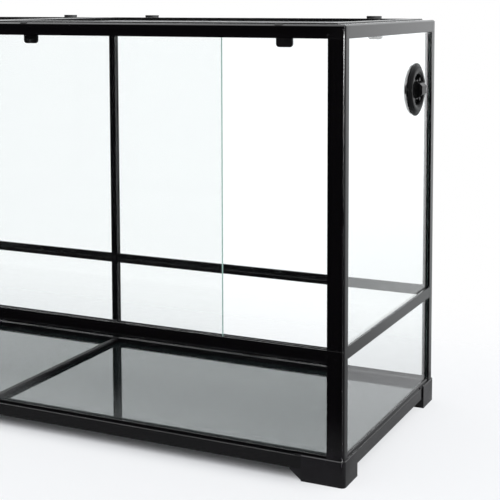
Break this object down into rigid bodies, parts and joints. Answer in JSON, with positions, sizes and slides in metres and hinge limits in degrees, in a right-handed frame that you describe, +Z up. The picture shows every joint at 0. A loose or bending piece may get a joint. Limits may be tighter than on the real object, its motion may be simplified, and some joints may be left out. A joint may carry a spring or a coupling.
{
  "type": "reptile terrarium",
  "caption": "Framed glass terrarium with sliding glass front doors over a low front pane, lift-off mesh lids with slide latches, a twist vent in one side and raised corner feet.",
  "frame": {"origin": "on the ground, below the middle of the tank", "axes": "+Z up, +X to the right along the front, -Y out of the front with the doors"},
  "size_m": [1.2122, 0.404, 0.631],
  "materials": {
    "rail_plastic": "black extruded plastic, satin gloss with fine draw lines along its length",
    "post_plastic": "black extruded plastic, satin gloss",
    "corner_plastic": "black moulded plastic with a fine grain",
    "feet_plastic": "black moulded plastic with a fine grain, scuffed at the ground edge",
    "lid_plastic": "black plastic, satin",
    "latch_plastic": "black moulded plastic",
    "port_plastic": "black glossy moulded plastic",
    "cap_plastic": "black glossy moulded plastic",
    "clear_glass": "clear float glass with a faint green edge",
    "door_glass": "clear float glass with ground, green tinted edges",
    "floor_glass": "glass backed with black, mirror-like from above",
    "mesh_steel": "woven steel wire with a black coating"
  },
  "bodies": {
    "tank_frame": {"foot_front_left": "feet_plastic", "foot_front_right": "feet_plastic", "foot_rear_left": "feet_plastic", "foot_rear_right": "feet_plastic", "bottom_rail_front": "rail_plastic", "bottom_rail_rear": "rail_plastic", "bottom_rail_left": "rail_plastic", "bottom_rail_right": "rail_plastic", "floor_crossbar": "rail_plastic", "floor_panel_left": "floor_glass", "floor_panel_right": "floor_glass", "lower_post_front_left": "post_plastic", "lower_post_front_right": "post_plastic", "lower_post_rear_left": "post_plastic", "lower_post_rear_right": "post_plastic", "lower_post_rear_middle": "post_plastic", "mid_rail_front": "rail_plastic", "mid_rail_rear": "rail_plastic", "mid_rail_left": "rail_plastic", "mid_rail_right": "rail_plastic", "upper_post_front_left": "post_plastic", "upper_post_front_right": "post_plastic", "upper_post_rear_left": "post_plastic", "upper_post_rear_right": "post_plastic", "upper_post_rear_middle": "post_plastic", "top_corner_front_left": "corner_plastic", "top_corner_front_right": "corner_plastic", "top_corner_rear_left": "corner_plastic", "top_corner_rear_right": "corner_plastic", "top_rail_front": "rail_plastic", "top_rail_rear": "rail_plastic", "top_rail_left": "rail_plastic", "top_rail_right": "rail_plastic", "top_crossbar": "rail_plastic", "lower_glass_front": "clear_glass", "lower_glass_left": "clear_glass", "lower_glass_right": "clear_glass", "lower_glass_rear_left": "clear_glass", "lower_glass_rear_right": "clear_glass", "upper_glass_left": "clear_glass", "upper_glass_right": "clear_glass", "upper_glass_rear_left": "clear_glass", "upper_glass_rear_right": "clear_glass", "port_flange": "port_plastic", "port_nut": "port_plastic"},
    "right_door": {"door_right": "door_glass"},
    "left_door": {"door_left": "door_glass"},
    "left_lid": {"lid_frame_left": "lid_plastic", "lid_mesh_left": "mesh_steel"},
    "right_lid": {"lid_frame_right": "lid_plastic", "lid_mesh_right": "mesh_steel"},
    "vent_cap": {"port_cap": "cap_plastic"},
    "latch_front_left_outer_slide": {"latch_front_left_outer": "latch_plastic"},
    "latch_front_left_inner_slide": {"latch_front_left_inner": "latch_plastic"},
    "latch_front_right_inner_slide": {"latch_front_right_inner": "latch_plastic"},
    "latch_front_right_outer_slide": {"latch_front_right_outer": "latch_plastic"},
    "latch_rear_left_outer_slide": {"latch_rear_left_outer": "latch_plastic"},
    "latch_rear_left_inner_slide": {"latch_rear_left_inner": "latch_plastic"},
    "latch_rear_right_inner_slide": {"latch_rear_right_inner": "latch_plastic"},
    "latch_rear_right_outer_slide": {"latch_rear_right_outer": "latch_plastic"}
  },
  "joints": [
    {"name": "right_door_slide", "type": "slide", "parent": "tank_frame", "child": "right_door", "axis": [1, 0, 0], "range_m": [-0.4013, 0.1642]},
    {"name": "left_door_slide", "type": "slide", "parent": "tank_frame", "child": "left_door", "axis": [1, 0, 0], "range_m": [0, 0.5655]},
    {"name": "left_lid_lift", "type": "slide", "parent": "tank_frame", "child": "left_lid", "axis": [0, 0, 1], "range_m": [0, 0.06]},
    {"name": "right_lid_lift", "type": "slide", "parent": "tank_frame", "child": "right_lid", "axis": [0, 0, 1], "range_m": [0, 0.06]},
    {"name": "vent_cap_turn", "type": "hinge", "parent": "tank_frame", "child": "vent_cap", "pos_m": [0.5962, 0.114, 0.5185], "axis": [1, 0, 0], "range_deg": [0, 90]},
    {"name": "latch_front_left_outer_lock", "type": "slide", "parent": "left_lid", "child": "latch_front_left_outer_slide", "axis": [0, -1, 0], "range_m": [0, 0.004]},
    {"name": "latch_front_left_inner_lock", "type": "slide", "parent": "left_lid", "child": "latch_front_left_inner_slide", "axis": [0, -1, 0], "range_m": [0, 0.004]},
    {"name": "latch_front_right_inner_lock", "type": "slide", "parent": "right_lid", "child": "latch_front_right_inner_slide", "axis": [0, -1, 0], "range_m": [0, 0.004]},
    {"name": "latch_front_right_outer_lock", "type": "slide", "parent": "right_lid", "child": "latch_front_right_outer_slide", "axis": [0, -1, 0], "range_m": [0, 0.004]},
    {"name": "latch_rear_left_outer_lock", "type": "slide", "parent": "left_lid", "child": "latch_rear_left_outer_slide", "axis": [0, 1, 0], "range_m": [0, 0.004]},
    {"name": "latch_rear_left_inner_lock", "type": "slide", "parent": "left_lid", "child": "latch_rear_left_inner_slide", "axis": [0, 1, 0], "range_m": [0, 0.004]},
    {"name": "latch_rear_right_inner_lock", "type": "slide", "parent": "right_lid", "child": "latch_rear_right_inner_slide", "axis": [0, 1, 0], "range_m": [0, 0.004]},
    {"name": "latch_rear_right_outer_lock", "type": "slide", "parent": "right_lid", "child": "latch_rear_right_outer_slide", "axis": [0, 1, 0], "range_m": [0, 0.004]}
  ]
}
